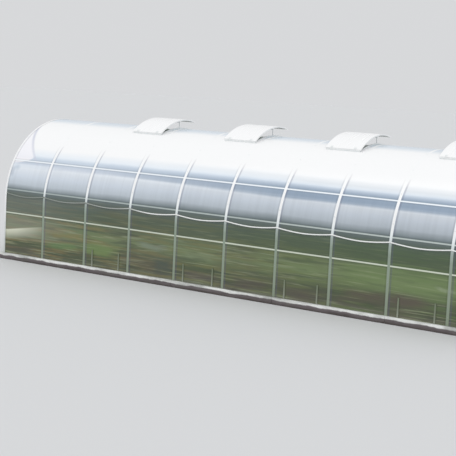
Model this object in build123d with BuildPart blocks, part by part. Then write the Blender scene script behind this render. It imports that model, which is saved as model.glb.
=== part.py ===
from build123d import *
import math
import os

os.makedirs("parts", exist_ok=True)

# Main sizes of the tunnel
bay_pitch = 1000.0
bay_count = 10
bays_per_sheet = 2
end_setback = 58.0
tunnel_radius = 1470.0
leg_height = 982.0

# Covering of twin-wall sheet
sheet_thickness = 6.0
cover_gap = 0.2
trim_thickness = 6.0
trim_reach = 34.0
trim_lip = 22.0
trim_lip_thickness = 3.0

# Steel frame
rib_width = 40.0
rib_depth = 30.0
rail_width = 20.0
rail_depth = 20.0
lower_rail_height = 749.0
middle_rail_angle = 7.6
upper_rail_angle = 29.6

# Timber kerb on the ground
kerb_height = 110.0
kerb_width = 100.0
kerb_ledge = 60.0

# Roof vents
vent_width = 640.0
vent_shift = 85.0
vent_sweep = 39.8
vent_near_angle = 22.9
vent_opening_angle = 15.4
vent_upstand = 14.0
vent_upstand_inset = 10.0
vent_upstand_thickness = 15.0
vent_bar_width = 30.0
hinge_radius = 8.0
hinge_rise = 5.0
hinge_gap = 0.2
barrel_sides = 8
leaf_bow_radius = 1130.0
leaf_gap = 1.0
leaf_thickness = 20.0
leaf_rim = 25.0
stay_bar = 10.0
stay_rod = 8.0
stay_rod_drop = 20.0
stay_reach = -35.0

# Doors in the gables
door_width = 860.0
door_height = 1850.0
door_lap = 15.0
door_thickness = 20.0
door_frame_width = 45.0
post_width = 30.0
door_hinge_count = 3
door_hinge_inset = 200.0
door_hinge_height = 80.0
door_hinge_leaf = 40.0
door_hinge_thickness = 3.0
door_hinge_radius = 8.0
handle_height = 950.0
handle_length = 160.0
handle_bar = 12.0
handle_reach = 34.0

# Cord and foot strips on the front side
cord_radius = 8.0
cord_height = 124.0
cord_sag = 53.0
cord_standoff = 12.0
cord_kink_radius = 300.0
bow_reach = 0.45
cord_sides = 6
tie_size = 20.0
strip_spread = 600.0
strip_width = 25.0
strip_thickness = 12.0
strip_height = 300.0

# Derived sizes
half_length = bay_pitch * bay_count / 2 - end_setback
kerb_top = kerb_height
spring_height = kerb_top + leg_height
sheet_inner = tunnel_radius - sheet_thickness
rib_outer = sheet_inner - cover_gap
rib_inner = rib_outer - rib_depth
trim_inner = tunnel_radius + cover_gap
rail_inner = rib_outer - rail_depth
end_face = half_length + rib_width / 2
cover_end = end_face + sheet_thickness
kerb_outer_y = tunnel_radius + kerb_ledge
kerb_outer_x = cover_end + kerb_ledge
arch_centre = (0.0, spring_height)


def polar(centre, reach, angle):
    turn = math.radians(angle)
    return (centre[0] + reach * math.cos(turn), centre[1] + reach * math.sin(turn))


def arch_area(reach, foot, mode=Mode.ADD):
    with BuildLine() as outline:
        Polyline((reach, spring_height), (reach, foot), (-reach, foot), (-reach, spring_height))
        ThreePointArc((-reach, spring_height), (0, spring_height + reach), (reach, spring_height))
    make_face(outline.edges(), mode=mode)


def arc_band(centre, inner, outer, start, end, mode=Mode.ADD):
    middle = (start + end) / 2
    with BuildLine() as outline:
        ThreePointArc(polar(centre, outer, start), polar(centre, outer, middle), polar(centre, outer, end))
        Line(polar(centre, outer, end), polar(centre, inner, end))
        ThreePointArc(polar(centre, inner, end), polar(centre, inner, middle), polar(centre, inner, start))
        Line(polar(centre, inner, start), polar(centre, outer, start))
    make_face(outline.edges(), mode=mode)


def rib_position(number):
    place = (number - bay_count / 2) * bay_pitch
    return max(-half_length, min(half_length, place))


# Long rails that tie the ribs together, flush with the outside of the ribs
rail_half_turn = math.degrees(rail_width / 2 / rib_outer)
long_rails = []
for side_name, side in (("front", -1), ("back", 1)):
    with BuildPart() as lower_rail:
        with BuildSketch(Plane.YZ.offset(-end_face)):
            with Locations((side * (rib_outer - rail_depth / 2), kerb_top + lower_rail_height)):
                Rectangle(rail_depth, rail_width)
        extrude(amount=2 * end_face)
    lower_rail.part.label = f"{side_name}_lower_rail"
    export_step(lower_rail.part, f"parts/{side_name}_lower_rail.step")
    long_rails.append(lower_rail.part)
    for rail_name, rail_angle in (("middle", middle_rail_angle), ("upper", upper_rail_angle)):
        turned = rail_angle if side > 0 else 180 - rail_angle
        with BuildPart() as bent_rail:
            with BuildSketch(Plane.YZ.offset(-end_face)):
                arc_band(arch_centre, rail_inner, rib_outer, turned - rail_half_turn, turned + rail_half_turn)
            extrude(amount=2 * end_face)
        bent_rail.part.label = f"{side_name}_{rail_name}_rail"
        export_step(bent_rail.part, f"parts/{side_name}_{rail_name}_rail.step")
        long_rails.append(bent_rail.part)

# Bays that carry a roof vent: the first bay of every cover sheet but the first sheet
vent_bays = list(range(bays_per_sheet, bay_count, bays_per_sheet))

# Ridge rails between the ribs, in the bays that have no vent
with BuildPart() as ridge_rails:
    for bay in range(bay_count):
        if bay not in vent_bays:
            with BuildSketch(Plane.YZ.offset(rib_position(bay) + rib_width / 2)):
                arc_band(arch_centre, rail_inner, rib_outer, 90 - rail_half_turn, 90 + rail_half_turn)
            extrude(amount=rib_position(bay + 1) - rib_position(bay) - rib_width)
ridge_rails.part.label = "ridge_rails"
export_step(ridge_rails.part, "parts/ridge_rails.step")

# Ribs: straight legs and a half-round arch, notched for the long rails
for number in range(1, bay_count):
    with BuildPart() as rib:
        with BuildSketch(Plane.YZ.offset(rib_position(number) - rib_width / 2)):
            arch_area(rib_outer, kerb_top)
            arch_area(rib_inner, kerb_top, mode=Mode.SUBTRACT)
        extrude(amount=rib_width)
        add(long_rails, mode=Mode.SUBTRACT)
    rib.part.label = f"rib_{number}"
    export_step(rib.part, f"parts/rib_{number}.step")

# End frames: the end arch with door posts, a head bar and side bars
door_sill = kerb_top
door_head = door_sill + door_height
for end_name, end in (("left", -1), ("right", 1)):
    frame_start = end * half_length - rib_width / 2
    with BuildPart() as end_frame:
        with BuildSketch(Plane.YZ.offset(frame_start)):
            for side in (-1, 1):
                post_y = side * (door_width / 2 + post_width / 2)
                with Locations((post_y, kerb_top + tunnel_radius / 2 + leg_height / 2)):
                    Rectangle(post_width, tunnel_radius + leg_height)
                bar_inner = door_width / 2 + post_width / 2
                with Locations((side * (bar_inner + rib_inner) / 2, spring_height)):
                    Rectangle(rib_inner - bar_inner + rib_depth, post_width)
            with Locations((0, door_head + post_width / 2)):
                Rectangle(door_width + post_width, post_width)
        extrude(amount=rib_width)
        with BuildSketch(Plane.YZ.offset(frame_start)):
            arch_area(rib_outer, kerb_top)
        extrude(amount=rib_width, mode=Mode.INTERSECT)
        with BuildSketch(Plane.YZ.offset(frame_start)):
            arch_area(rib_outer, kerb_top)
            arch_area(rib_inner, kerb_top, mode=Mode.SUBTRACT)
        extrude(amount=rib_width)
        add(long_rails, mode=Mode.SUBTRACT)
    end_frame.part.label = f"{end_name}_end_frame"
    export_step(end_frame.part, f"parts/{end_name}_end_frame.step")

    # Gable sheet with the doorway cut through it
    sheet_start = end * (end_face + sheet_thickness / 2) - sheet_thickness / 2
    with BuildPart() as gable_sheet:
        with BuildSketch(Plane.YZ.offset(sheet_start)):
            arch_area(rib_outer, kerb_top)
            with Locations((0, door_sill + door_height / 2)):
                Rectangle(door_width, door_height, mode=Mode.SUBTRACT)
        extrude(amount=sheet_thickness)
    gable_sheet.part.label = f"{end_name}_gable_sheet"
    export_step(gable_sheet.part, f"parts/{end_name}_gable_sheet.step")

    # Door leaf that closes over the doorway: a bar frame with thin panels, hinges and a pull handle
    leaf_start = end * (cover_end + door_thickness / 2) - door_thickness / 2
    leaf_width = door_width + 2 * door_lap
    leaf_height = door_height + door_lap
    pane_width = leaf_width - 2 * door_frame_width
    pane_height = (leaf_height - 3 * door_frame_width) / 2
    with BuildPart() as door:
        with BuildSketch(Plane.YZ.offset(leaf_start)):
            with Locations((0, door_sill + leaf_height / 2)):
                Rectangle(leaf_width, leaf_height)
        extrude(amount=door_thickness)
        pocket_start = end * (cover_end + sheet_thickness)
        with BuildSketch(Plane.YZ.offset(pocket_start)):
            for row in (0, 1):
                pane_y = door_sill + door_frame_width + pane_height / 2
                with Locations((0, pane_y + row * (pane_height + door_frame_width))):
                    Rectangle(pane_width, pane_height)
        extrude(amount=end * (door_thickness - sheet_thickness), mode=Mode.SUBTRACT)
        leaf_edge = leaf_width / 2
        leaf_face = cover_end + door_thickness
        hinge_step = (leaf_height - 2 * door_hinge_inset - door_hinge_height) / (door_hinge_count - 1)
        for row in range(door_hinge_count):
            with BuildSketch(Plane.XY.offset(door_sill + door_hinge_inset + row * hinge_step)):
                with Locations((end * (cover_end + door_hinge_thickness / 2), leaf_edge + door_hinge_leaf / 2)):
                    Rectangle(door_hinge_thickness, door_hinge_leaf)
                with Locations((end * (cover_end + door_hinge_radius), leaf_edge + door_hinge_radius)):
                    RegularPolygon(door_hinge_radius, barrel_sides)
                with Locations((end * (cover_end + door_thickness / 2), leaf_edge + door_hinge_thickness / 2)):
                    Rectangle(door_thickness, door_hinge_thickness)
                with Locations((end * (leaf_face + door_hinge_thickness / 2),
                                leaf_edge + door_hinge_thickness - door_hinge_leaf / 2)):
                    Rectangle(door_hinge_thickness, door_hinge_leaf)
            extrude(amount=door_hinge_height)
        handle_y = door_frame_width / 2 - leaf_edge
        with BuildSketch(Plane.YZ.offset(end * leaf_face)):
            for side in (-1, 1):
                with Locations((handle_y, door_sill + handle_height + side * (handle_length - handle_bar) / 2)):
                    Rectangle(handle_bar, handle_bar)
        extrude(amount=end * handle_reach)
        with BuildSketch(Plane.YZ.offset(end * (leaf_face + handle_reach - handle_bar))):
            with Locations((handle_y, door_sill + handle_height)):
                Rectangle(handle_bar, handle_length)
        extrude(amount=end * handle_bar)
    door.part.label = f"{end_name}_door"
    export_step(door.part, f"parts/{end_name}_door.step")

    # Edge trim that wraps the end of the cover
    trim_start = end * cover_end - trim_reach if end > 0 else -cover_end - trim_lip_thickness
    lip_start = end * (cover_end + trim_lip_thickness / 2) - trim_lip_thickness / 2
    with BuildPart() as edge_trim:
        with BuildSketch(Plane.YZ.offset(trim_start)):
            arch_area(trim_inner + trim_thickness, kerb_top)
            arch_area(trim_inner, kerb_top, mode=Mode.SUBTRACT)
        extrude(amount=trim_reach + trim_lip_thickness)
        with BuildSketch(Plane.YZ.offset(lip_start)):
            arch_area(trim_inner + trim_thickness, kerb_top)
            arch_area(trim_inner - trim_lip, kerb_top, mode=Mode.SUBTRACT)
        extrude(amount=trim_lip_thickness)
    edge_trim.part.label = f"{end_name}_edge_trim"
    export_step(edge_trim.part, f"parts/{end_name}_edge_trim.step")

# Roof vents: a frame set between two ribs, a bowed leaf on a hinge, and a stay
upstand_top = tunnel_radius + vent_upstand
near_turn = 90 + vent_near_angle
far_turn = near_turn - vent_sweep
upstand_turn = math.degrees(vent_upstand_thickness / tunnel_radius)
bar_turn = math.degrees(vent_bar_width / tunnel_radius)
hinge_turn = near_turn - upstand_turn / 2
hinge_point = polar(arch_centre, upstand_top + hinge_rise, hinge_turn)
leaf_inner = leaf_bow_radius
leaf_outer = leaf_inner + leaf_thickness
opened_turn = hinge_turn + vent_opening_angle
leaf_centre = polar(hinge_point, -(leaf_inner + hinge_rise - leaf_gap), opened_turn)
barrel_turn = math.degrees((hinge_radius + hinge_gap) / leaf_inner)
leaf_start_turn = opened_turn - barrel_turn
leaf_end_turn = opened_turn - vent_sweep * upstand_top / leaf_inner
leaf_rim_turn = math.degrees(leaf_rim / leaf_inner)
hole_width = vent_width - 2 * vent_upstand_inset
clear_width = hole_width - 2 * vent_upstand_thickness

for vent_number, bay in enumerate(vent_bays, start=1):
    vent_middle = rib_position(bay) + bay_pitch / 2 + vent_shift
    leaf_side = vent_middle - vent_width / 2
    hole_side = vent_middle - hole_width / 2
    clear_side = vent_middle - clear_width / 2
    bar_side = rib_position(bay) + rib_width / 2
    with BuildPart() as vent_frame:
        with BuildSketch(Plane.YZ.offset(bar_side)):
            arc_band(arch_centre, rail_inner, rib_outer, near_turn - bar_turn, near_turn)
            arc_band(arch_centre, rail_inner, rib_outer, far_turn, far_turn + bar_turn)
        extrude(amount=rib_position(bay + 1) - bar_side - rib_width / 2)
        with BuildSketch(Plane.YZ.offset(hole_side)):
            arc_band(arch_centre, rail_inner, upstand_top, far_turn, near_turn)
        extrude(amount=hole_width)
        with BuildSketch(Plane.YZ.offset(clear_side)):
            arc_band(arch_centre, rail_inner - rail_depth, upstand_top + vent_upstand,
                     far_turn + upstand_turn, near_turn - upstand_turn)
        extrude(amount=clear_width, mode=Mode.SUBTRACT)
        with BuildSketch(Plane.YZ.offset(hole_side)):
            with Locations(hinge_point):
                RegularPolygon(hinge_radius, barrel_sides)
        extrude(amount=hole_width)
    vent_frame.part.label = f"vent_frame_{vent_number}"
    export_step(vent_frame.part, f"parts/vent_frame_{vent_number}.step")

    with BuildPart() as vent_leaf:
        with BuildSketch(Plane.YZ.offset(leaf_side)):
            arc_band(leaf_centre, leaf_inner, leaf_outer, leaf_end_turn, leaf_start_turn)
        extrude(amount=vent_width)
        with BuildSketch(Plane.YZ.offset(leaf_side + leaf_rim)):
            arc_band(leaf_centre, leaf_inner - leaf_thickness, leaf_outer - sheet_thickness,
                     leaf_end_turn + leaf_rim_turn, leaf_start_turn - leaf_rim_turn)
        extrude(amount=vent_width - 2 * leaf_rim, mode=Mode.SUBTRACT)
    vent_leaf.part.label = f"vent_leaf_{vent_number}"
    export_step(vent_leaf.part, f"parts/vent_leaf_{vent_number}.step")

    leaf_under = leaf_centre[1] + math.sqrt(leaf_inner ** 2 - (stay_reach - leaf_centre[0]) ** 2)
    rod_height = leaf_under - stay_rod_drop
    foot_height = spring_height + math.sqrt(rib_outer ** 2 - stay_reach ** 2)
    leg_inset = vent_upstand_inset + vent_upstand_thickness / 2
    with BuildPart() as vent_stay:
        with BuildSketch(Plane.XY.offset(foot_height)):
            with Locations((leaf_side + leg_inset, stay_reach), (leaf_side + vent_width - leg_inset, stay_reach)):
                Rectangle(stay_bar, stay_bar)
        extrude(amount=leaf_under + leaf_thickness / 3 - foot_height)
        with BuildSketch(Plane.YZ.offset(leaf_side + leg_inset)):
            with Locations((stay_reach, rod_height)):
                Rectangle(stay_rod, stay_rod)
        extrude(amount=vent_width - 2 * leg_inset)
        add(vent_frame.part, mode=Mode.SUBTRACT)
        add(vent_leaf.part, mode=Mode.SUBTRACT)
    vent_stay.part.label = f"vent_stay_{vent_number}"
    export_step(vent_stay.part, f"parts/vent_stay_{vent_number}.step")

# Cover sheets bent over the ribs, each spanning two bays, with the vent holes cut out
sheet_count = math.ceil(bay_count / bays_per_sheet)
for sheet_number in range(sheet_count):
    first_rib = sheet_number * bays_per_sheet
    last_rib = min(first_rib + bays_per_sheet, bay_count)
    sheet_from = -cover_end if first_rib == 0 else rib_position(first_rib)
    sheet_to = cover_end if last_rib == bay_count else rib_position(last_rib)
    with BuildPart() as cover_sheet:
        with BuildSketch(Plane.YZ.offset(sheet_from)):
            arch_area(tunnel_radius, kerb_top)
            arch_area(sheet_inner, kerb_top, mode=Mode.SUBTRACT)
        extrude(amount=sheet_to - sheet_from)
        for bay in vent_bays:
            if first_rib <= bay < last_rib:
                hole_start = rib_position(bay) + bay_pitch / 2 + vent_shift - hole_width / 2
                with BuildSketch(Plane.YZ.offset(hole_start)):
                    arc_band(arch_centre, rail_inner, upstand_top, far_turn, near_turn)
                extrude(amount=hole_width, mode=Mode.SUBTRACT)
    cover_sheet.part.label = f"cover_sheet_{sheet_number + 1}"
    export_step(cover_sheet.part, f"parts/cover_sheet_{sheet_number + 1}.step")

# Kerb of timber under the walls
with BuildPart() as kerb:
    with BuildSketch():
        Rectangle(2 * kerb_outer_x, 2 * kerb_outer_y)
        Rectangle(2 * (kerb_outer_x - kerb_width), 2 * (kerb_outer_y - kerb_width), mode=Mode.SUBTRACT)
    extrude(amount=kerb_height)
kerb.part.label = "kerb"
export_step(kerb.part, "parts/kerb.step")

# Cord tied along the front at every rib, hanging in a shallow bow in each bay
cord_line = tunnel_radius + cord_standoff
cord_end = cover_end - trim_reach - tie_size / 2 - cover_gap
tie_places = [-cord_end] + [rib_position(number) for number in range(1, bay_count)] + [cord_end]


def cord_point(place, drop):
    turn = 180 - math.degrees(math.asin((cord_height - drop) / cord_line))
    return (place, *polar(arch_centre, cord_line, turn))


route = [cord_point(tie_places[0], 0)]
bend_radii = []
for tie_from, tie_to in zip(tie_places, tie_places[1:]):
    half_bay = (tie_to - tie_from) / 2
    bow_turn = 2 * math.atan(cord_sag / half_bay)
    bow_radius = bow_reach * half_bay / math.tan(bow_turn / 2)
    route.append(cord_point(tie_from + half_bay, cord_sag))
    route.append(cord_point(tie_to, 0))
    bend_radii += [bow_radius, cord_kink_radius]
bend_radii.pop()
with BuildPart() as side_cord:
    with BuildLine() as cord_route:
        FilletPolyline(route, radius=bend_radii)
    with BuildSketch(Plane(origin=cord_route.line @ 0, z_dir=cord_route.line % 0)):
        RegularPolygon(cord_radius, cord_sides)
    sweep(path=cord_route.line)
side_cord.part.label = "side_cord"
export_step(side_cord.part, "parts/side_cord.step")
cord_length = cord_route.wires()[0].length
print("cord length", round(cord_length), "bend radii", round(min(bend_radii)), round(max(bend_radii)))
cord_section = cord_sides * cord_radius ** 2 * math.sin(2 * math.pi / cord_sides) / 2
print("cord volume share", round(side_cord.part.volume / (cord_section * cord_length), 4))

# Small ties that hold the cord just off the cover at every rib
tie_half_turn = math.degrees(tie_size / 2 / tunnel_radius)
tie_turn = 180 - math.degrees(math.asin(cord_height / cord_line))
with BuildPart() as cord_ties:
    for tie_place in tie_places:
        with BuildSketch(Plane.YZ.offset(tie_place - tie_size / 2)):
            arc_band(arch_centre, trim_inner, cord_line - cord_radius - cover_gap,
                     tie_turn - tie_half_turn, tie_turn + tie_half_turn)
        extrude(amount=tie_size)
cord_ties.part.label = "cord_ties"
export_step(cord_ties.part, "parts/cord_ties.step")

# Short upright strips on the front, at the foot of each vent bay
with BuildPart() as foot_strips:
    for bay in vent_bays:
        for side in (-1, 1):
            strip_x = rib_position(bay) + bay_pitch / 2 + side * strip_spread / 2
            with BuildSketch(Plane.XY.offset(kerb_top)):
                with Locations((strip_x, -tunnel_radius - strip_thickness / 2)):
                    Rectangle(strip_width, strip_thickness)
            extrude(amount=strip_height)
foot_strips.part.label = "foot_strips"
export_step(foot_strips.part, "parts/foot_strips.step")
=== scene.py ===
import math
import random

import bpy
from mathutils import Matrix, Vector, noise


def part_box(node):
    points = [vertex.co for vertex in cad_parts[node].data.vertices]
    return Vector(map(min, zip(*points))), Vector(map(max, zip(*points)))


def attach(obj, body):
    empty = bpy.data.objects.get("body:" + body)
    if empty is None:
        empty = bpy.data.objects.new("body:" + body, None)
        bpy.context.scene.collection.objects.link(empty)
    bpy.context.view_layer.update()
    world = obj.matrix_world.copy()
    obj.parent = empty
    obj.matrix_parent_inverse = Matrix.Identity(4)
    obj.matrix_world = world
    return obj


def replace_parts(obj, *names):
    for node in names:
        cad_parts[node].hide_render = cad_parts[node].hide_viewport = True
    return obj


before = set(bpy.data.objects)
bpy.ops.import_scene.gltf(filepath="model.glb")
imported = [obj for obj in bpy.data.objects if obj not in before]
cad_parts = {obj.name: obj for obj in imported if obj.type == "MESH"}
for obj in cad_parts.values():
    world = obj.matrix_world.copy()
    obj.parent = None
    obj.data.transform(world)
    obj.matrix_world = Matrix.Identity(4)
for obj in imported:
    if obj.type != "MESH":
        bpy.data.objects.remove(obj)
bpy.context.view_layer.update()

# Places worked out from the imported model
KERB_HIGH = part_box("kerb")[1]
KERB_TOP = KERB_HIGH.z
KERB_WIDTH = 0.100
COVER_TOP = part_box("cover_sheet_1")[1].z
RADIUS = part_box("cover_sheet_1")[1].y
SPRING = COVER_TOP - RADIUS
LEG = SPRING - KERB_TOP
COVER_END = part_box("cover_sheet_5")[1].x
HALF_SECTION = LEG + RADIUS * math.pi / 2
RAIL_RADIUS = RADIUS - 0.016


def middle_z(node):
    low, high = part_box(node)
    return (low.z + high.z) / 2


# Places along the section are the developed length from the kerb: up the leg, then round the arch
LOWER_RAIL = middle_z("front_lower_rail") - KERB_TOP
MIDDLE_RAIL = LEG + RADIUS * math.asin((middle_z("front_middle_rail") - SPRING) / RAIL_RADIUS)
UPPER_RAIL = LEG + RADIUS * math.asin((middle_z("front_upper_rail") - SPRING) / RAIL_RADIUS)

# Camera where the photograph was taken from
CAMERA_PLACE = Vector((11.6194, -17.9467, 3.5092))
CAMERA_YAW = 0.61164
CAMERA_PITCH = 0.11888
CAMERA_ROLL = 0.04942
CAMERA_LENS = 99.3


def make_camera():
    ahead = Vector((-math.sin(CAMERA_YAW) * math.cos(CAMERA_PITCH),
                    math.cos(CAMERA_YAW) * math.cos(CAMERA_PITCH),
                    -math.sin(CAMERA_PITCH)))
    level_right = Vector((math.cos(CAMERA_YAW), math.sin(CAMERA_YAW), 0))
    level_up = level_right.cross(ahead)
    right = math.cos(CAMERA_ROLL) * level_right + math.sin(CAMERA_ROLL) * level_up
    up = -math.sin(CAMERA_ROLL) * level_right + math.cos(CAMERA_ROLL) * level_up
    turn = Matrix((right, up, -ahead)).transposed().to_4x4()
    data = bpy.data.cameras.new("camera")
    data.lens = CAMERA_LENS
    data.sensor_width = 36
    data.clip_end = 500
    camera = bpy.data.objects.new("camera", data)
    camera.matrix_world = Matrix.Translation(CAMERA_PLACE) @ turn
    bpy.context.scene.collection.objects.link(camera)
    bpy.context.scene.camera = camera


make_camera()


class Graph:
    """A material's node tree, with short calls for the nodes that the finishes share."""

    def __init__(self, name):
        self.material = bpy.data.materials.new(name)
        self.material.use_nodes = True
        self.nodes = self.material.node_tree.nodes
        self.links = self.material.node_tree.links
        self.shader = self.nodes["Principled BSDF"]
        self.coordinates = self.nodes.new("ShaderNodeTexCoord")
        self.place = self.coordinates.outputs["Object"]
        self.split = None

    def join(self, source, target):
        if hasattr(source, "links"):
            self.links.new(source, target)
        else:
            target.default_value = source

    def axis(self, name):
        if self.split is None:
            self.split = self.nodes.new("ShaderNodeSeparateXYZ")
            self.links.new(self.place, self.split.inputs[0])
        return self.split.outputs[name]

    def facing(self, name):
        split = self.nodes.new("ShaderNodeSeparateXYZ")
        self.links.new(self.coordinates.outputs["Normal"], split.inputs[0])
        return split.outputs[name]

    def stretched(self, scale):
        mapping = self.nodes.new("ShaderNodeMapping")
        mapping.inputs["Scale"].default_value = scale
        self.links.new(self.place, mapping.inputs["Vector"])
        return mapping.outputs[0]

    def noise(self, scale, stretch=(1, 1, 1), detail=4, rough=0.6, distort=0.0):
        node = self.nodes.new("ShaderNodeTexNoise")
        node.inputs["Scale"].default_value = scale
        node.inputs["Detail"].default_value = detail
        node.inputs["Roughness"].default_value = rough
        node.inputs["Distortion"].default_value = distort
        self.links.new(self.stretched(stretch), node.inputs["Vector"])
        return node.outputs["Fac"]

    def math(self, kind, a, b=0.0):
        node = self.nodes.new("ShaderNodeMath")
        node.operation = kind
        self.join(a, node.inputs[0])
        self.join(b, node.inputs[1])
        return node.outputs[0]

    def add(self, a, b):
        return self.math("ADD", a, b)

    def minus(self, a, b):
        return self.math("SUBTRACT", a, b)

    def size_of(self, value):
        return self.math("ABSOLUTE", value)

    def above_zero(self, value):
        return self.math("MAXIMUM", value, 0.0)

    def times(self, *values):
        total = values[0]
        for value in values[1:]:
            total = self.math("MULTIPLY", total, value)
        return total

    def most(self, *values):
        total = values[0]
        for value in values[1:]:
            total = self.math("MAXIMUM", total, value)
        return total

    def span(self, value, low, high, to_low=0.0, to_high=1.0):
        node = self.nodes.new("ShaderNodeMapRange")
        node.inputs["From Min"].default_value = low
        node.inputs["From Max"].default_value = high
        node.inputs["To Min"].default_value = to_low
        node.inputs["To Max"].default_value = to_high
        self.links.new(value, node.inputs["Value"])
        return node.outputs[0]

    def near(self, value, middle, half_width, soft):
        """1 where value is within half_width of middle, fading over soft."""
        away = self.size_of(self.minus(value, middle))
        return self.span(away, half_width, half_width + soft, 1.0, 0.0)

    def near_whole(self, value, half_width, soft):
        """1 where value is within half_width of a whole number, fading over soft."""
        return self.near(self.minus(value, self.math("ROUND", value)), 0.0, half_width, soft)

    def section(self):
        """Developed length up the leg and round the arch, the same on the front and the back."""
        height = self.axis("Z")
        aside = self.size_of(self.axis("Y"))
        turn = self.math("ARCTAN2", self.minus(height, SPRING), aside)
        round_arch = self.times(self.above_zero(turn), RADIUS)
        up_leg = self.minus(self.math("MINIMUM", height, SPRING), KERB_TOP)
        return self.add(up_leg, round_arch)

    def section_reach(self):
        """Distance from the arch's centre line."""
        height = self.minus(self.axis("Z"), SPRING)
        aside = self.axis("Y")
        return self.math("SQRT", self.add(self.times(height, height), self.times(aside, aside)))

    def ramp(self, value, stops, low, high):
        """Colour by value, from stops of a place between low and high and a screen colour."""
        node = self.nodes.new("ShaderNodeValToRGB")
        points = node.color_ramp.elements
        while len(points) < len(stops):
            points.new(1.0)
        for point, (where, colour) in zip(points, stops):
            point.position = (where - low) / (high - low)
            point.color = (*screen(*colour), 1.0)
        self.links.new(self.span(value, low, high), node.inputs[0])
        return node.outputs[0]

    def mix(self, share, a, b):
        node = self.nodes.new("ShaderNodeMix")
        node.data_type = "RGBA"
        node.clamp_factor = True
        factor, first, second = node.inputs[0], node.inputs[6], node.inputs[7]
        self.join(share, factor)
        self.join(a if hasattr(a, "links") else (*a, 1.0), first)
        self.join(b if hasattr(b, "links") else (*b, 1.0), second)
        return node.outputs[2]

    def tint(self, colour, shade, *shares):
        """Lays a screen colour over colour, by the product of the shares."""
        return self.mix(self.times(*shares), colour, screen(*shade))

    def darken(self, colour, *shares):
        return self.tint(colour, (0, 0, 0), *shares)

    def bump(self, height, strength, distance):
        node = self.nodes.new("ShaderNodeBump")
        node.inputs["Strength"].default_value = strength
        node.inputs["Distance"].default_value = distance
        self.links.new(height, node.inputs["Height"])
        return node.outputs[0]

    def set(self, **sockets):
        names = {"colour": "Base Color", "rough": "Roughness", "metal": "Metallic", "normal": "Normal",
                 "alpha": "Alpha", "ior": "IOR", "specular": "Specular IOR Level"}
        for key, source in sockets.items():
            target = self.shader.inputs[names[key]]
            if isinstance(source, tuple):
                source = (*source, 1.0)
            self.join(source, target)


def screen(red, green, blue):
    """A colour as seen on screen, 0 to 255, as the linear numbers that shaders take."""
    def linear(value):
        share = value / 255
        return share / 12.92 if share <= 0.04045 else ((share + 0.055) / 1.055) ** 2.4
    return (linear(red), linear(green), linear(blue))


# Colours up the cover, from the kerb to the ridge, by developed length in metres; the pale blue and
# white bands higher up and the bluish strip at the ridge are painted reflection of the sky
COVER_STOPS = [
    (0.00, (116, 120, 100)),
    (0.10, (81, 89, 65)),
    (0.25, (86, 98, 67)),
    (0.52, (119, 136, 93)),
    (0.80, (89, 102, 78)),
    (0.94, (83, 98, 79)),
    (1.12, (95, 108, 104)),
    (1.20, (114, 127, 130)),
    (1.31, (200, 210, 219)),
    (1.46, (220, 229, 240)),
    (1.62, (236, 242, 249)),
    (1.67, (216, 224, 236)),
    (1.76, (196, 208, 223)),
    (1.83, (211, 223, 236)),
    (1.88, (237, 244, 251)),
    (2.04, (254, 254, 254)),
    (2.86, (254, 254, 254)),
    (3.05, (220, 230, 239)),
    (3.29, (208, 219, 230)),
]
# Colours of the ribs' lines on the cover, by developed length: grey-green on the legs, and white on the
# arch as painted light where the sky lights them
RIB_STOPS = [
    (0.00, (140, 152, 132)),
    (0.90, (148, 163, 147)),
    (1.05, (168, 180, 174)),
    (1.13, (222, 230, 230)),
    (1.24, (247, 251, 252)),
    (1.40, (254, 254, 254)),
    (3.29, (253, 254, 254)),
]


# Tinted patches low on the wall: middle along the tunnel and up the leg, half extents, share and colour
WALL_PATCHES = [
    (-3.45, 0.46, 0.40, 0.05, 0.60, (138, 128, 78)),
    (-3.50, 0.28, 0.35, 0.06, 0.60, (108, 142, 86)),
    (-1.50, 0.51, 0.35, 0.05, 0.50, (140, 154, 140)),
    (-2.65, 0.31, 0.40, 0.10, 0.70, (122, 148, 86)),
    (-1.20, 0.22, 0.18, 0.14, 0.55, (70, 86, 80)),
    (-0.50, 0.13, 0.45, 0.07, 0.55, (98, 88, 86)),
    (-0.50, 0.46, 0.40, 0.08, 0.50, (132, 146, 112)),
    (0.55, 0.14, 0.30, 0.08, 0.50, (94, 84, 76)),
    (1.45, 0.12, 0.35, 0.08, 0.50, (96, 90, 78)),
    (2.60, 0.24, 0.40, 0.09, 0.60, (96, 82, 74)),
    (3.35, 0.26, 0.35, 0.10, 0.60, (98, 84, 76)),
    (3.95, 0.51, 0.25, 0.03, 0.45, (164, 176, 146)),
    (4.45, 0.34, 0.35, 0.08, 0.45, (104, 92, 80)),
]


FLUTE_PITCH = 0.012
FLUTE_STRENGTH = 0.015
FLUTE_DEPTH = 0.001
SHEET_IOR = 1.58


def flute_bump(g, across, share=1.0):
    """Ridges over the inner walls of the twin-wall sheet, one after the other along the axis across."""
    ridges = g.math("SINE", g.times(g.axis(across), 2 * math.pi / FLUTE_PITCH))
    return g.bump(g.times(ridges, share), FLUTE_STRENGTH, FLUTE_DEPTH)


def fine_lines(g, stretch):
    """Fine upright lines, where some of the inner walls show more than others."""
    return g.span(g.noise(15, stretch, 2, 0.5), 0.42, 0.62)


def sheet_rough(g, stretch):
    return g.span(g.noise(5, stretch, 2), 0.3, 0.7, 0.22, 0.26)


# Ribs under the cover: half the width of a rib's line, and how far off the painted shade lines beside it
# are
RIB_LINE = 0.0200
DARK_RIGHT = 0.046
DARK_LEFT = 0.036

# Rails under the cover: how far off their dark edges are, and for each rail its place up the section,
# its colours at the left and right, its half width and how dark its edges are
RAIL_EDGE = 0.020
RAIL_LINES = (
    (LOWER_RAIL, (210, 217, 200), (216, 223, 205), 0.0095, 0.10),
    (MIDDLE_RAIL, (170, 182, 180), (194, 204, 200), 0.0092, 0.08),
    (UPPER_RAIL, (246, 251, 254), (244, 250, 254), 0.0095, 0.14),
)

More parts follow.
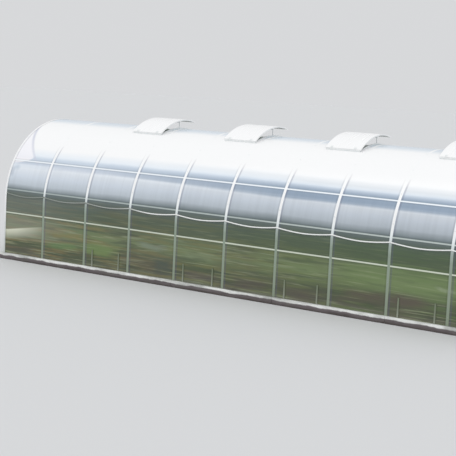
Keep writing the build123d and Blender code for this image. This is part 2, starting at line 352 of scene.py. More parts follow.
# End sheets, by place up the section: top of the painted reflection's curved edge, and where the pale
# painted reflection outside it starts to bend
REFLECTION_TOP = 2.64
REFLECTION_LOW = 1.86
REFLECTION_BEND = 16.0

# End sheets, by distance from the middle: top of the painted reflection's curved edge, inside of the
# trim with its painted shadow, spots of painted shade beside it
REFLECTION_EDGE = 4.95
TRIM_INSIDE = 4.924
UPPER_SHADE_SPOT = 4.81
LOWER_SHADE_SPOT = 4.895


def low_wall(g, colour, along, place, to_right):
    """Ground and plants seen through the wall: streaks, tints that change along it, and patches."""
    under_rail = g.span(place, LOWER_RAIL - 0.02, LOWER_RAIL + 0.10, 1.0, 0.35)
    low = g.times(g.span(place, 1.02, 1.18, 1.0, 0.0), under_rail)

    # Streaks drawn out along the tunnel, of which the first are brown to the left and green to the right
    smears = g.span(g.noise(2.6, (0.45, 1, 8.0), 3, 0.5), 0.46, 0.60)
    brown_or_green = g.mix(to_right, screen(146, 126, 84), screen(98, 122, 72))
    colour = g.mix(g.times(smears, low, 0.62), colour, brown_or_green)
    pale = g.span(g.noise(3.3, (0.4, 1, 12.0), 4, 0.5), 0.54, 0.66)
    colour = g.tint(colour, (160, 168, 132), pale, low, 0.62)
    dark = g.span(g.noise(2.1, (0.6, 1, 6.0), 3, 0.5, distort=0.3), 0.52, 0.66)
    colour = g.tint(colour, (64, 76, 58), dark, low, 0.60)
    soil = g.span(g.noise(1.1, (0.8, 1, 2.0), 3), 0.48, 0.62)
    near_foot = g.span(place, 0.10, 0.50, 1.0, 0.3)
    colour = g.tint(colour, (98, 86, 80), soil, near_foot, low, 0.45)

    # Greyer in the bays to the left, and greener to the right
    wall = g.near(place, 0.52, 0.12, 0.16)
    colour = g.tint(colour, (148, 150, 134), wall, g.span(along, -4.4, -3.0, 0.60, 0.0))
    grass = g.near(place, 0.56, 0.12, 0.14)
    colour = g.tint(colour, (124, 148, 92), grass, g.span(along, 0.9, 2.9, 0.0, 0.50))
    above_rail = g.near(place, 0.92, 0.14, 0.06)
    colour = g.tint(colour, (126, 134, 126), above_rail, g.span(along, -4.2, -2.4, 0.45, 0.0))
    colour = g.tint(colour, (72, 98, 58), above_rail, g.span(along, -0.5, 2.5, 0.0, 0.35))

    # Broad patches where ground and grass inside tint the sheet
    drift = g.span(g.noise(2.2, (0.8, 1, 2.0), 3), 0.3, 0.7, -0.10, 0.10)
    for middle, level, half_length, half_height, share, shade in WALL_PATCHES:
        across = g.near(g.add(along, drift), middle, half_length * 0.5, half_length * 0.7)
        upright = g.near(g.add(place, g.times(drift, 0.3)), level, half_height * 0.4, half_height * 0.8)
        colour = g.tint(colour, shade, across, upright, share)

    # Pale patch low in the first bay, sharp along its upper edge
    rising = g.minus(place, g.span(along, -4.88, -3.88, 0.0, 0.15))
    pale_zone = g.times(g.span(rising, 0.24, 0.43), g.span(rising, 0.426, 0.446, 1.0, 0.0))
    first_bay = g.times(g.span(along, -4.65, -4.08, 0.92, 0.25), g.span(along, -4.02, -3.99, 1.0, 0.0))
    return g.tint(colour, (238, 240, 218), pale_zone, first_bay)


def blue_band(g, colour, along, place, to_right):
    """Blue band about the upper rail, which deepens and widens to the right, and what borders it."""
    deeper = g.span(along, -3.3, 1.2)
    lower_edge = g.add(g.times(deeper, 0.08), g.span(along, 0.8, 1.6, 0.0, -0.013))
    band_start = g.span(g.add(place, lower_edge), 1.64, 1.68)
    band = g.times(band_start, g.span(place, 1.78, 1.86, 1.0, 0.0), deeper)
    colour = g.tint(colour, (140, 160, 182), band, 0.85)
    colour = g.tint(colour, (126, 148, 172), g.near(place, 1.69, 0.04, 0.03), deeper, 0.5)
    colour = g.darken(colour, g.near(place, 1.94, 0.03, 0.05), deeper, 0.07)
    colour = g.darken(colour, g.near(place, 1.42, 0.14, 0.06), to_right, 0.17)
    colour = g.darken(colour, g.near(place, 1.90, 0.02, 0.04), g.span(along, 0.8, 1.6), 0.05)
    far_left = g.span(along, -4.2, -3.6, 1.0, 0.0)
    return g.tint(colour, (234, 241, 249), g.near(place, 1.640, 0.020, 0.025), far_left, 0.80)


def end_reflection(g, colour, along, place):
    """Painted reflection in each end sheet: a curved edge from the trim high up down and inwards, with a
    pale painted reflection outside it; also spots of painted shade by the trim and a painted shadow
    along its inner side.
    """
    from_middle = g.size_of(along)
    below_top = g.above_zero(g.minus(REFLECTION_TOP, place))
    edge_curve = g.add(g.times(below_top, 0.25), g.times(below_top, below_top, 0.40))
    from_edge = g.minus(g.add(from_middle, edge_curve), REFLECTION_EDGE)
    high = g.times(g.span(place, 1.65, 1.72), g.span(place, 2.60, 2.70, 1.0, 0.0))
    under = g.above_zero(g.minus(REFLECTION_LOW, place))
    inward = g.minus(from_edge, g.times(under, under, REFLECTION_BEND))
    thick = g.most(g.span(place, 2.10, 2.40, 0.90, 0.45), g.span(place, 1.80, 1.92, 1.0, 0.0))
    # Pale painted reflection outside the curved edge, and a painted line along the edge
    colour = g.tint(colour, (250, 249, 254), g.span(inward, -0.02, 0.04), high, thick)
    edge_line = g.near(from_edge, 0.0, 0.012, 0.035)
    colour = g.tint(colour, (206, 209, 224), edge_line, high, g.span(place, 1.9, 2.3, 0.50, 0.75))
    # Spots of painted shade beside the trim
    lower_shade = g.times(g.near(from_middle, LOWER_SHADE_SPOT, 0.020, 0.040), g.near(place, 1.52, 0.06, 0.05))
    colour = g.tint(colour, (182, 192, 206), lower_shade, 0.50)
    upper_shade = g.times(g.near(from_middle, UPPER_SHADE_SPOT, 0.02, 0.08), g.near(place, 1.60, 0.01, 0.05))
    colour = g.tint(colour, (196, 210, 224), upper_shade, 0.60)
    # Painted shadow along the inside of the trim
    return g.darken(colour, g.near(from_middle, TRIM_INSIDE, 0.008, 0.010), 0.14)


def steel_below(g, colour, along, place, to_right):
    """Ribs and rails show where the sheet lies on them, with thin dark lines beside them; the ribs'
    lines are painted paler on the arch as painted light, and the dark lines beside the ribs are painted
    shade.
    """
    line_fade = g.span(place, 1.98, 2.16, 1.0, 0.0)
    # Painted shade: thin dark lines beside each rib for its sides in shade, stronger and purple-grey on
    # the right
    dark_right = g.near_whole(g.minus(along, DARK_RIGHT), 0.009, 0.012)
    colour = g.tint(colour, (92, 92, 122), dark_right, line_fade, 0.34)
    dark_left = g.near_whole(g.add(along, DARK_LEFT), 0.006, 0.010)
    colour = g.darken(colour, dark_left, line_fade, 0.13)
    rails = []
    for where, left, right, half_width, beside in RAIL_LINES:
        edges = g.near(g.size_of(g.minus(place, where)), RAIL_EDGE, 0.006, 0.012)
        colour = g.darken(colour, edges, beside)
        rail = g.near(place, where, half_width, 0.004)
        colour = g.mix(rail, colour, g.mix(to_right, screen(*left), screen(*right)))
        rails.append(rail)
    lean = g.span(place, 1.0, 1.3, 0.0, 0.004)
    on_rib = g.near_whole(g.minus(along, lean), RIB_LINE, 0.006)
    # Lines where the sheet lies on a rib, painted paler on the arch as painted light
    colour = g.mix(on_rib, colour, g.ramp(place, RIB_STOPS, 0.0, HALF_SECTION))
    return colour, g.most(*rails, on_rib)


def cover_material():
    g = Graph("twin_wall_sheet")
    along = g.axis("X")
    place = g.section()
    to_right = g.span(along, -4.5, 3.0)

    # Bands of colour up the section, which wander a little up and down along the tunnel
    wander = g.span(g.noise(1.3, (0.6, 1, 1), 3), 0.3, 0.7, -0.015, 0.015)
    wander = g.add(wander, g.span(along, -4.6, -1.5, 0.024, -0.007))
    wander = g.add(wander, g.span(along, 0.8, 2.0, 0.0, 0.004))
    wander = g.add(wander, g.times(g.near(along, -3.5, 0.3, 0.6), 0.012))
    wander = g.add(wander, g.times(g.near(along, 0.5, 0.3, 0.5), -0.010))
    # The ramp paints the sky's reflection onto the upper part of the sheet
    colour = g.ramp(g.add(place, wander), COVER_STOPS, 0.0, HALF_SECTION)

    colour = low_wall(g, colour, along, place, to_right)
    colour = blue_band(g, colour, along, place, to_right)
    grey_part = g.near(place, 1.46, 0.16, 0.22)
    colour = g.darken(colour, fine_lines(g, (1, 0.02, 0.02)), grey_part, 0.045)
    colour = end_reflection(g, colour, along, place)
    colour, covered = steel_below(g, colour, along, place, to_right)

    closed = g.most(covered, g.span(place, 1.0, 1.9, 0.90, 1.0))
    g.set(colour=colour, alpha=closed, rough=sheet_rough(g, (1, 0.4, 0.4)), normal=flute_bump(g, "X"),
          ior=SHEET_IOR)
    return g.material


# Colours up the gables by height, for the sheet and for the steel seen through it, the steel paler
# higher up as painted light
GABLE_TOP = 2.6
GABLE_STOPS = [
    (0.00, (112, 118, 100)),
    (0.50, (122, 132, 110)),
    (0.95, (118, 130, 118)),
    (1.30, (150, 163, 166)),
    (1.70, (190, 201, 209)),
    (2.10, (216, 224, 231)),
    (2.60, (236, 241, 245)),
]
GABLE_STEEL_STOPS = [
    (0.10, (150, 163, 147)),
    (1.30, (205, 214, 214)),
    (1.70, (238, 244, 246)),
]

# Steel behind the gable sheets: door posts from the middle, half width of a line, inside of the arch
DOOR_POST = 0.445
STEEL_LINE = 0.0135
ARCH_INSIDE = RADIUS - 0.040

# Panes of the doors: half width, then middle height and half height of each
DOOR_PANE_SIDE = 0.400
DOOR_PANES = ((0.5875, 0.4325), (1.4975, 0.4325))


def ground_seen(g, colour, share):
    """Green smears where plants show through a gable's sheet."""
    smears = g.span(g.noise(2.6, (1, 0.5, 7.0), 5, 0.6), 0.48, 0.74)
    return g.tint(colour, (96, 112, 78), smears, share, 0.4)


def two_tone(g, pattern, dark, pale):
    """A colour that goes from dark to pale over the middle of a noise pattern."""
    return g.mix(g.span(pattern, 0.35, 0.65), screen(*dark), screen(*pale))


def gable_material():
    g = Graph("gable_sheet")
    height = g.axis("Z")
    aside = g.size_of(g.axis("Y"))
    wander = g.span(g.noise(1.6, (1, 0.7, 1), 3), 0.3, 0.7, -0.06, 0.06)
    colour = g.ramp(g.add(height, wander), GABLE_STOPS, 0.0, GABLE_TOP)
    colour = ground_seen(g, colour, g.span(height, 1.1, 1.5, 1.0, 0.2))

    posts = g.near(aside, DOOR_POST, STEEL_LINE, 0.004)
    beside_door = g.span(aside, DOOR_POST - 0.005, DOOR_POST + 0.005)
    bars = g.times(g.near(height, SPRING, STEEL_LINE, 0.004), beside_door)
    above_legs = g.span(height, SPRING - 0.01, SPRING)
    arch = g.times(g.span(g.section_reach(), ARCH_INSIDE, ARCH_INSIDE + 0.005), above_legs)
    legs = g.span(aside, ARCH_INSIDE, ARCH_INSIDE + 0.005)
    covered = g.most(posts, bars, arch, legs)
    colour = g.mix(covered, colour, g.ramp(height, GABLE_STEEL_STOPS, 0.0, GABLE_TOP))

    beside_steel = g.span(covered, 0.0, 1.0, 0.06, 0.0)
    colour = g.darken(colour, fine_lines(g, (0.02, 1, 0.02)), beside_steel)
    closed = g.most(covered, g.span(height, 1.0, 2.3, 0.88, 0.96))
    g.set(colour=colour, alpha=closed, rough=sheet_rough(g, (0.4, 1, 0.4)), normal=flute_bump(g, "Y"),
          ior=SHEET_IOR)
    return g.material


def door_material():
    g = Graph("door_leaf")
    height = g.axis("Z")
    aside = g.size_of(g.axis("Y"))
    rows = g.most(*[g.near(height, middle, half, 0.001) for middle, half in DOOR_PANES])
    pane = g.times(rows, g.span(aside, DOOR_PANE_SIDE, DOOR_PANE_SIDE + 0.001, 1.0, 0.0))
    sheet = ground_seen(g, g.ramp(height, GABLE_STOPS, 0.0, GABLE_TOP), 1.0)
    rim = two_tone(g, g.noise(45, (1, 1, 1), 3, 0.7), (168, 180, 170), (196, 205, 196))
    # Paler higher up: painted light, as on the steel seen through the gables
    rim = g.tint(rim, (222, 229, 230), g.span(height, 0.9, 1.8))
    g.set(colour=g.mix(pane, rim, sheet), alpha=g.span(pane, 0.0, 1.0, 1.0, 0.88),
          metal=g.span(pane, 0.0, 1.0, 0.3, 0.0), rough=g.span(pane, 0.0, 1.0, 0.5, 0.22),
          normal=flute_bump(g, "Y", pane))
    return g.material


STEEL_DARK = (164, 175, 164)
STEEL_PALE = (194, 203, 196)


def steel_material():
    g = Graph("galvanised_steel")
    spangle = g.noise(60, (1, 1, 1), 3, 0.7)
    dull = g.noise(3, (1, 1, 2.5), 4)
    colour = two_tone(g, spangle, STEEL_DARK, STEEL_PALE)
    colour = g.tint(colour, (142, 152, 138), g.span(dull, 0.5, 0.75, 0.0, 0.5))
    g.set(colour=colour, metal=0.35, rough=g.span(dull, 0.3, 0.7, 0.40, 0.60),
          normal=g.bump(spangle, 0.12, 0.0006))
    return g.material


def vent_frame_material():
    """Steel that is plain inside the tunnel and pale where it stands out of the roof: partly a pale
    finish like the trim, partly painted light against the shade under the leaf.
    """
    g = Graph("vent_frame")
    spangle = g.noise(60, (1, 1, 1), 3, 0.7)
    inside = two_tone(g, spangle, STEEL_DARK, STEEL_PALE)
    # Pale outside: partly a pale finish, partly painted light against the shade in the gap under the
    # leaf
    outside = two_tone(g, spangle, (236, 240, 240), (250, 251, 251))
    shown = g.span(g.section_reach(), RADIUS - 0.002, RADIUS + 0.001)
    g.set(colour=g.mix(shown, inside, outside), metal=0.1, rough=0.45,
          normal=g.bump(spangle, 0.1, 0.0006))
    return g.material


def trim_material():
    g = Graph("edge_trim")
    worn = g.noise(6, (1, 1, 3), 4)
    scuffs = g.noise(24, (1, 1, 1), 3, 0.7)
    colour = g.mix(g.span(worn, 0.5, 0.75), screen(254, 254, 254), screen(238, 242, 245))
    colour = g.tint(colour, (206, 212, 216), g.span(scuffs, 0.64, 0.78, 0.0, 0.3))
    colour = g.tint(colour, (158, 168, 160), g.span(g.axis("Z"), KERB_TOP, SPRING, 0.55, 0.0))
    g.set(colour=colour, metal=0.1, rough=g.span(worn, 0.3, 0.7, 0.32, 0.48),
          normal=g.bump(scuffs, 0.08, 0.001))
    return g.material


def leaf_material():
    """Sheet of the vents: white above, and below painted shade towards the hinge, pale towards the tip.
    """
    g = Graph("vent_sheet")
    streak = g.noise(4, (3, 0.6, 0.6), 4)
    upper = g.mix(g.span(streak, 0.5, 0.8, 0.0, 0.10), screen(254, 254, 254), screen(232, 238, 240))
    # Painted shade on the underside near the hinge, fading to pale towards the tip
    painted_shade_under = g.mix(g.span(streak, 0.4, 0.7), screen(136, 142, 162), screen(112, 116, 138))
    under = g.tint(painted_shade_under, (244, 249, 244), g.span(g.axis("Y"), -0.30, -0.10))
    below = g.span(g.facing("Z"), -0.76, -0.68, 1.0, 0.0)
    g.set(colour=g.mix(below, upper, under), rough=g.span(streak, 0.3, 0.7, 0.24, 0.30),
          normal=flute_bump(g, "X"), ior=SHEET_IOR)
    return g.material


BLEACHED_LOW = KERB_TOP - 0.046
BLEACHED_HIGH = KERB_TOP - 0.030


def timber_material():
    """Grey boards, bleached along the top edge and dark with soil at the foot."""
    g = Graph("weathered_timber")
    grain = g.noise(7, (0.3, 7, 9), 6, 0.7, distort=0.5)
    fine = g.noise(26, (0.2, 7, 9), 4, 0.7)
    patch = g.noise(2.1, (0.9, 3, 3), 4, 0.6)
    face = g.mix(g.span(grain, 0.32, 0.68), screen(80, 73, 74), screen(124, 116, 118))
    face = g.tint(face, (104, 106, 94), g.span(patch, 0.5, 0.7, 0.0, 0.5))
    bleached = g.mix(g.span(patch, 0.42, 0.60), screen(240, 241, 239), screen(188, 190, 186))
    bleached = g.darken(bleached, g.span(grain, 0.55, 0.72, 0.0, 0.18))
    edge = g.add(g.axis("Z"), g.span(g.noise(5, (0.8, 1, 1), 4), 0.3, 0.7, -0.012, 0.012))
    colour = g.mix(g.span(edge, BLEACHED_LOW, BLEACHED_HIGH), face, bleached)
    colour = g.tint(colour, (64, 57, 50), g.span(edge, 0.0, 0.045, 0.8, 0.0))
    cracks = g.span(fine, 0.60, 0.70)
    colour = g.darken(colour, cracks, 0.30)
    heights = g.minus(g.times(grain, 0.6), g.times(cracks, 0.5))
    g.set(colour=colour, rough=g.span(grain, 0.3, 0.7, 0.72, 0.92), normal=g.bump(heights, 0.7, 0.004))
    return g.material


# Colours along the cord, which is darker and greyer to the left, and the pitch of its twist
CORD_STOPS = [
    (-5.00, (134, 142, 134)),
    (-4.00, (140, 147, 140)),
    (-3.00, (158, 163, 157)),
    (-2.20, (176, 180, 176)),
    (-1.90, (206, 210, 207)),
    (-1.60, (252, 252, 251)),
    (5.00, (255, 255, 255)),
]
TWIST_PITCH = 0.016


def cord_material():
    g = Graph("cord")
    slanting = g.add(g.axis("X"), g.times(g.axis("Z"), 0.8))
    wound = g.math("SINE", g.times(slanting, 2 * math.pi / TWIST_PITCH))
    fibre = g.noise(160, (1, 1, 1), 2)
    shade = g.ramp(g.axis("X"), CORD_STOPS, -5.0, 5.0)
    colour = g.tint(shade, (200, 204, 202), g.span(fibre, 0.3, 0.7, 0.0, 0.10))
    # Painted shade in the grooves of the twist
    colour = g.darken(colour, g.span(wound, -1.0, -0.3, 0.06, 0.0))
    g.set(colour=colour, rough=0.65, normal=g.bump(wound, 0.4, 0.0008))
    return g.material


def strip_material():
    g = Graph("foot_strip")
    worn = g.noise(14, (1, 1, 0.25), 4)
    colour = two_tone(g, worn, (134, 140, 124), (156, 160, 146))
    fade = g.span(g.axis("Z"), KERB_TOP, KERB_TOP + 0.3, 0.0, 0.75)
    g.set(colour=g.tint(colour, (108, 122, 92), fade), rough=0.6, normal=g.bump(worn, 0.2, 0.001))
    return g.material


def bolt_material():
    g = Graph("zinc_fixings")
    dull = g.noise(90, (1, 1, 1), 3)
    # Darker low on the legs and pale from the spring of the arch up: painted light, as on the ribs'
    # lines
    low = two_tone(g, dull, (136, 146, 134), (162, 172, 160))
    pale = two_tone(g, dull, (226, 230, 230), (246, 248, 248))
    g.set(colour=g.mix(g.span(g.axis("Z"), SPRING, SPRING + 0.3), low, pale), metal=0.2,
          rough=g.span(dull, 0.3, 0.7, 0.28, 0.42), normal=g.bump(dull, 0.1, 0.0004))
    return g.material


COVER = cover_material()
GABLE = gable_material()
DOOR = door_material()
STEEL = steel_material()
TRIM = trim_material()
LEAF = leaf_material()
VENT_FRAME = vent_frame_material()
TIMBER = timber_material()
CORD = cord_material()
STRIP = strip_material()
FIXINGS = bolt_material()


def finish_for(node):
    """Finish of a node, by the start or the end of its name."""
    if node.startswith("cover_sheet"):
        return COVER
    if node.endswith("gable_sheet"):
        return GABLE
    if node.endswith("door"):
        return DOOR
    if node.startswith("vent_leaf"):
        return LEAF
    if node.startswith(("vent_frame", "vent_stay")):
        return VENT_FRAME
    if node.endswith("edge_trim") or node == "cord_ties":
        return TRIM
    if node == "kerb":
        return TIMBER
    if node == "side_cord":
        return CORD
    if node == "foot_strips":
        return STRIP
    return STEEL


for node_name, node_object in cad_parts.items():
    node_object.data.materials.clear()
    node_object.data.materials.append(finish_for(node_name))


SHARP_ANGLE = math.radians(35)


def circle(middle, first, second, radius, sides):
    """Corners of a circle round middle, in the plane of the two directions."""
    turns = [2 * math.pi * k / sides for k in range(sides)]
    return [middle + radius * (math.cos(turn) * first + math.sin(turn) * second) for turn in turns]


class Shape:
    """Gathers corners and faces, and turns them into one piece."""

    def __init__(self):
        self.corners = []
        self.faces = []

    def rings(self, loops):
        """Joins loops of corners, each with the same count, into a closed body."""
        start = len(self.corners)
        count = len(loops[0])
        for loop in loops:
            self.corners.extend(loop)
        for row in range(len(loops) - 1):
            for k in range(count):
                a = start + row * count + k
                b = start + row * count + (k + 1) % count
                self.faces.append((a, b, b + count, a + count))
        self.faces.append(tuple(start + k for k in reversed(range(count))))
        last = start + (len(loops) - 1) * count
        self.faces.append(tuple(last + k for k in range(count)))

    def turned(self, place, along, profile, sides):
        """A body turned round the line through place: profile is a list of (distance along, radius)."""
        along = along.normalized()
        first = along.orthogonal().normalized()
        second = along.cross(first)
        self.rings([circle(place + along * reach, first, second, radius, sides)
                    for reach, radius in profile])

    def block(self, place, across, along, up, size, bevel):
        """A block with bevelled edges, centred at place: size holds half extents on the directions."""
        loops = []
        for level, inset in ((-1, bevel), (-1, 0), (1, 0), (1, bevel)):
            depth = size[2] - (0 if inset else bevel)
            a, b = size[0] - inset, size[1] - inset
            outline = [(-a, -b + bevel), (-a + bevel, -b), (a - bevel, -b), (a, -b + bevel),
                       (a, b - bevel), (a - bevel, b), (-a + bevel, b), (-a, b - bevel)]
            loops.append([place + across * x + along * y + up * (level * depth) for x, y in outline])
        self.rings(loops)

    def tube(self, line, radius, sides):
        """A round body that follows a line of points."""
        loops = []
        for k, point in enumerate(line):
            ahead = (line[min(k + 1, len(line) - 1)] - line[max(k - 1, 0)]).normalized()
            first = ahead.cross(Vector((0, 1, 0))).normalized()
            second = first.cross(ahead)
            loops.append(circle(point, first, second, radius, sides))
        self.rings(loops)

    def piece(self, name, material, smooth=True):
        """Makes the gathered body an object of the scene, fixed to the root body."""
        mesh = bpy.data.meshes.new(name)
        mesh.from_pydata(self.corners, [], self.faces)
        mesh.validate()
        made = bpy.data.objects.new(name, mesh)
        bpy.context.scene.collection.objects.link(made)
        mesh.materials.append(material)
        if smooth:
            mesh.polygons.foreach_set("use_smooth", [True] * len(mesh.polygons))
            mesh.set_sharp_from_angle(angle=SHARP_ANGLE)
        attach(made, "root")
        return made


def section_point(x, length, side, reach=0.0):
    """Point on the cover at developed length from the kerb, with the outward direction there."""
    if length <= LEG:
        out = Vector((0, side, 0))
        return Vector((x, side * (RADIUS + reach), KERB_TOP + length)), out
    turn = (length - LEG) / RADIUS
    out = Vector((0, side * math.cos(turn), math.sin(turn)))
    return Vector((x, 0, SPRING)) + out * (RADIUS + reach), out


# Kerb of squared timbers laid end to end, with butt joints, worn edges and tops that differ a little
BOARDS_A_SIDE = 5
BOARD_GAP = 0.004
BOARD_EDGE = 0.006
BOARD_STEP = 0.10
BOARD_SLACK = 0.002
BOARD_WEAR = 0.0018
BOARD_DROP = 0.003
END_WIDTH = 0.93
END_DROP = 0.03


def board_outline(width, height, edge):
    half = width / 2
    return [(-half + edge, 0), (half - edge, 0), (half, edge), (half, height - edge),
            (half - 0.3 * edge, height - 0.3 * edge), (half - edge, height), (-half + edge, height),
            (-half + 0.3 * edge, height - 0.3 * edge), (-half, height - edge), (-half, edge)]


def add_board(shape, start, end, seed):
    run = end - start
    length = run.length
    ahead = run.normalized()
    across = Vector((-ahead.y, ahead.x, 0))
    draw = random.Random(seed)
    top = KERB_TOP - draw.uniform(0.0, BOARD_DROP)
    inside = length - 2 * BOARD_EDGE
    steps = max(2, round(inside / BOARD_STEP))
    places = [0.0] + [BOARD_EDGE + inside * k / steps for k in range(steps + 1)] + [length]
    loops = []
    for k, reach in enumerate(places):
        tight = END_WIDTH if k in (0, len(places) - 1) else 1.0
        loop = []
        for a, b in board_outline(KERB_WIDTH - BOARD_SLACK, top, BOARD_EDGE):
            point = start + ahead * reach + across * (a * tight)
            rough = noise.noise(Vector((point.x * 3 + seed, point.y * 3, b * 14)))
            wear = BOARD_WEAR * (0.5 + 0.5 * rough)
            height = b if b == 0 else max(BOARD_EDGE, b - wear - (1 - tight) * END_DROP * b)
            loop.append(point - across * (wear * (1 if a > 0 else -1)) + Vector((0, 0, height)))
        loops.append(loop)
    shape.rings(loops)


def make_kerb():
    shape = Shape()
    side = KERB_HIGH.y - KERB_WIDTH / 2
    reach = KERB_HIGH.x
    pitch = 2 * reach / BOARDS_A_SIDE
    last = BOARDS_A_SIDE - 1
    for row, y in enumerate((-side, side)):
        for k in range(BOARDS_A_SIDE):
            start = -reach + k * pitch + (0 if k == 0 else BOARD_GAP / 2)
            stop = -reach + (k + 1) * pitch - (0 if k == last else BOARD_GAP / 2)
            add_board(shape, Vector((start, y, 0)), Vector((stop, y, 0)), 10 * row + k)
    inner = KERB_HIGH.y - KERB_WIDTH - BOARD_GAP / 2
    for row, x in enumerate((-reach + KERB_WIDTH / 2, reach - KERB_WIDTH / 2)):
        add_board(shape, Vector((x, -inner, 0)), Vector((x, inner, 0)), 30 + row)
    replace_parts(shape.piece("kerb_boards", TIMBER), "kerb")


make_kerb()


# Cover screws with sealing washers along every rib, at these places up the section
RIBS = range(-4, 5)
SCREW_PLACES = (0.12, 0.50, 0.90, 1.38, 1.86, 2.34, 2.82)
WASHER_PROFILE = ((0.0, 0.0085), (0.0012, 0.0085), (0.0022, 0.0060), (0.0022, 0.0046), (0.0052, 0.0046),
                  (0.0058, 0.0034))


def make_screws():
    shape = Shape()
    for rib in RIBS:
        for side in (-1, 1):
            for length in SCREW_PLACES:
                place, out = section_point(rib, length, side)
                shape.turned(place, out, WASHER_PROFILE, 8)
    shape.piece("cover_screws", FIXINGS, smooth=False)


make_screws()


# Cord tied at every rib, with a wrapped knot at each tie
CORD_RADIUS = 0.0098
CORD_REACH = 0.012
CORD_DROP = 0.040
CORD_BOW = 1.75
TIE_HEIGHT = 0.1225
CORD_TIE = LEG + RADIUS * math.asin(TIE_HEIGHT / (RADIUS + CORD_REACH))
CORD_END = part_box("side_cord")[1].x
TIE_PLACES = [-CORD_END, *RIBS, CORD_END]
CORD_STEPS = 24
KNOT_WINDS = ((-0.0100, 0.0112), (0.0, 0.0120), (0.0100, 0.0112))
KNOT_HALF = 0.0050
KNOT_ROUND = 0.0034
KNOT_STEPS = 6


def cord_line():
    line = []
    for start, stop in zip(TIE_PLACES, TIE_PLACES[1:]):
        for k in range(CORD_STEPS):
            share = k / CORD_STEPS
            bow = 1 - abs(2 * share - 1) ** CORD_BOW
            length = CORD_TIE - CORD_DROP * bow
            line.append(section_point(start + share * (stop - start), length, -1, CORD_REACH)[0])
    line.append(section_point(CORD_END, CORD_TIE, -1, CORD_REACH)[0])
    return line


def make_cord():
    shape = Shape()
    shape.tube(cord_line(), CORD_RADIUS, 8)
    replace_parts(shape.piece("tied_cord", CORD), "side_cord")


def make_knots():
    shape = Shape()
    tangent = Vector((1, 0, 0))
    turns = [math.pi * k / KNOT_STEPS for k in range(KNOT_STEPS + 1)]
    for rib in RIBS:
        place = section_point(rib, CORD_TIE, -1, CORD_REACH)[0]
        for shift, radius in KNOT_WINDS:
            profile = [(-KNOT_HALF * math.cos(turn), radius - KNOT_ROUND + KNOT_ROUND * math.sin(turn))
                       for turn in turns]
            shape.turned(place + tangent * shift, tangent, profile, 10)
    shape.piece("cord_knots", CORD)


make_cord()
make_knots()


# Roof vents: hinge straps and knuckles along the front edge of every leaf
VENT_SHIFT = 0.085
VENT_MIDDLES = [bay + VENT_SHIFT for bay in (-2.5, -0.5, 1.5, 3.5)]
HINGE_TURN = math.radians(112.608)
HINGE_REACH = RADIUS + 0.019
OPENING = math.radians(15.4)
LEAF_INNER = 1.130
LEAF_OUTER = LEAF_INNER + 0.020
LEAF_SET_BACK = 0.004
HINGE_SIDES = (-0.215, 0.215)
STRAP_FROM_EDGE = 0.033
STRAP_HALF = (0.022, 0.020, 0.0012)
STRAP_BEVEL = 0.0006
STRAP_REACH = 0.0010
BOLT_SHIFTS = (-0.012, 0.012)
BOLT_PROFILE = ((0.0, 0.0045), (0.0022, 0.0042), (0.0036, 0.0022))
BOLT_UP = 0.006
KNUCKLE_SHIFTS = (-0.0215, 0.0, 0.0215)
KNUCKLE_HALF = 0.0095
KNUCKLE_PROFILE = ((0.0, 0.0080), (0.0008, 0.0096), (0.0182, 0.0096), (0.0190, 0.0080))


def make_hinges():
    shape = Shape()
    across = Vector((1, 0, 0))
    radial = Vector((0, math.cos(HINGE_TURN), math.sin(HINGE_TURN)))
    hinge = Vector((0, 0, SPRING)) + radial * HINGE_REACH
    opened = HINGE_TURN + OPENING
    leaf_centre = hinge - Vector((0, math.cos(opened), math.sin(opened))) * (LEAF_INNER + LEAF_SET_BACK)
    strap_turn = opened - STRAP_FROM_EDGE / LEAF_INNER
    strap_out = Vector((0, math.cos(strap_turn), math.sin(strap_turn)))
    strap_along = Vector((0, strap_out.z, -strap_out.y))
    for middle in VENT_MIDDLES:
        for side in HINGE_SIDES:
            x = Vector((middle + side, 0, 0))
            centre = x + leaf_centre + strap_out * (LEAF_OUTER + STRAP_REACH)
            shape.block(centre, across, strap_along, strap_out, STRAP_HALF, STRAP_BEVEL)
            for shift in BOLT_SHIFTS:
                bolt = centre + across * shift + strap_along * BOLT_UP
                shape.turned(bolt, strap_out, BOLT_PROFILE, 8)
            for shift in KNUCKLE_SHIFTS:
                start = x + hinge + across * (shift - KNUCKLE_HALF)
                shape.turned(start, across, KNUCKLE_PROFILE, 14)
    shape.piece("vent_hinges", FIXINGS)


make_hinges()


# Screws in the door hinges: on each hinge a row on the gable and a row on the door
DOOR_HINGES = 3
DOOR_HINGE_LOW = 0.240
DOOR_HINGE_PITCH = 0.6925
DOOR_SCREW_ROWS = ((DOOR_POST + 0.030, 0.003), (DOOR_POST - 0.020, 0.023))
DOOR_SCREW_SHIFTS = (-0.024, 0.0, 0.024)
DOOR_SCREW_PROFILE = ((0.0, 0.0045), (0.0014, 0.0042), (0.0026, 0.0024))


def make_door_screws():
    shape = Shape()
    for end in (-1, 1):
        out = Vector((end, 0, 0))
        for hinge in range(DOOR_HINGES):
            middle = KERB_TOP + DOOR_HINGE_LOW + hinge * DOOR_HINGE_PITCH
            for shift in DOOR_SCREW_SHIFTS:
                for y, reach in DOOR_SCREW_ROWS:
                    place = Vector((end * (COVER_END + reach), y, middle + shift))
                    shape.turned(place, out, DOOR_SCREW_PROFILE, 8)
    shape.piece("door_screws", FIXINGS, smooth=False)


make_door_screws()


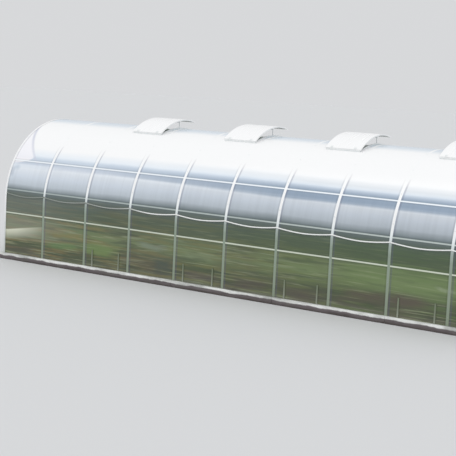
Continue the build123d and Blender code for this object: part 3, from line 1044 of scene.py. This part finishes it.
# Floor, world and lamps
FLOOR_REACH = 150
FLOOR_COLOUR = (0.70, 0.706, 0.714)
WORLD_COLOUR = (0.98, 0.99, 1.0)
WORLD_LIGHT = 0.82
SEEN_COLOUR = (0.682, 0.690, 0.703)
INSIDE_PLACES = (-4, -2, 0, 2, 4)
INSIDE_POWER = 5.0
INSIDE_SIZE = 0.45
INSIDE_HEIGHT = SPRING + 0.2
SUN_POWER = 0.62
SUN_SPREAD = math.radians(50)
SUN_AIM = (0.25, 0.55, -1.0)


def make_stage():
    floor_mesh = bpy.data.meshes.new("floor")
    corners = [(x * FLOOR_REACH, y * FLOOR_REACH, 0) for x, y in ((-1, -1), (1, -1), (1, 1), (-1, 1))]
    floor_mesh.from_pydata(corners, [], [(0, 1, 2, 3)])
    floor = bpy.data.objects.new("floor", floor_mesh)
    bpy.context.scene.collection.objects.link(floor)
    g = Graph("floor")
    g.set(colour=FLOOR_COLOUR, rough=0.9, specular=0.1)
    floor_mesh.materials.append(g.material)


def make_world():
    """One colour lights the scene, and another is seen by the camera, in gloss and through sheets."""
    world = bpy.data.worlds.new("world")
    world.use_nodes = True
    bpy.context.scene.world = world
    nodes, links = world.node_tree.nodes, world.node_tree.links
    light = nodes["Background"]
    light.inputs["Color"].default_value = (*WORLD_COLOUR, 1)
    light.inputs["Strength"].default_value = WORLD_LIGHT
    seen = nodes.new("ShaderNodeBackground")
    seen.inputs["Color"].default_value = (*SEEN_COLOUR, 1)
    seen.inputs["Strength"].default_value = 1.0
    ray = nodes.new("ShaderNodeLightPath")
    shown = ray.outputs["Is Camera Ray"]
    for kind in ("Is Glossy Ray", "Is Transmission Ray"):
        either = nodes.new("ShaderNodeMath")
        either.operation = "MAXIMUM"
        links.new(shown, either.inputs[0])
        links.new(ray.outputs[kind], either.inputs[1])
        shown = either.outputs[0]
    choose = nodes.new("ShaderNodeMixShader")
    links.new(shown, choose.inputs[0])
    links.new(light.outputs[0], choose.inputs[1])
    links.new(seen.outputs[0], choose.inputs[2])
    links.new(choose.outputs[0], nodes["World Output"].inputs[0])


def make_inside_light():
    """Soft daylight inside the tunnel, which real sheets let in."""
    for x in INSIDE_PLACES:
        data = bpy.data.lights.new("inside_light", "POINT")
        data.energy = INSIDE_POWER
        data.shadow_soft_size = INSIDE_SIZE
        lamp = bpy.data.objects.new("inside_light", data)
        lamp.location = (x, 0, INSIDE_HEIGHT)
        lamp.visible_camera = False
        bpy.context.scene.collection.objects.link(lamp)


def make_sun():
    data = bpy.data.lights.new("soft_sun", "SUN")
    data.energy = SUN_POWER
    data.angle = SUN_SPREAD
    lamp = bpy.data.objects.new("soft_sun", data)
    lamp.rotation_euler = Vector(SUN_AIM).to_track_quat("-Z", "Y").to_euler()
    bpy.context.scene.collection.objects.link(lamp)


bpy.context.scene.view_settings.view_transform = "Standard"
make_stage()
make_world()
make_inside_light()
make_sun()
